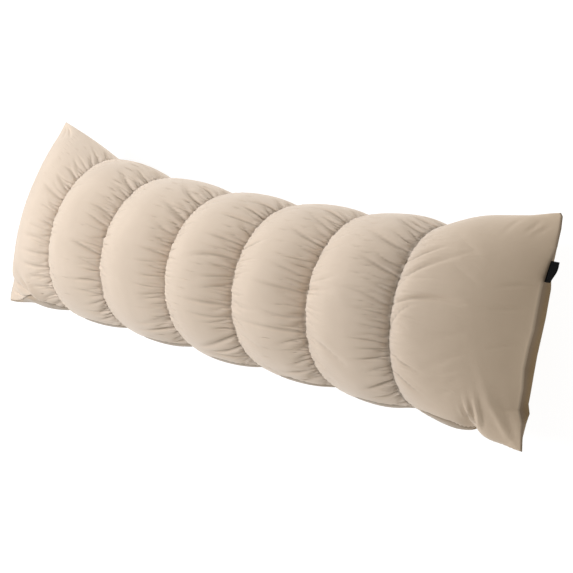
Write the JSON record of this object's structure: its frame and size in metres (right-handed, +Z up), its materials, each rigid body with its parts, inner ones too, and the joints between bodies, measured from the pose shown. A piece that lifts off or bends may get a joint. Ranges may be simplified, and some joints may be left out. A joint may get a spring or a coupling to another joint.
{
  "type": "body pillow",
  "caption": "Long stuffed body pillow with gathered channels that divide it into puffed panels, pointed corners and a blank side label.",
  "frame": {"origin": "on the surface that the pillow lies on, under the middle of its length and width", "axes": "+X along the pillow towards the end with the side label, +Z up out of the front face, +Y across it"},
  "size_m": [1.7471, 0.5096, 0.3748],
  "materials": {
    "case_cloth": "sand coloured smooth brushed weave, soft and matt with a faint sheen",
    "label_ribbon": "black woven ribbon, matt"
  },
  "bodies": {
    "root": {"pillow": "case_cloth", "side_label": "label_ribbon"}
  },
  "joints": []
}
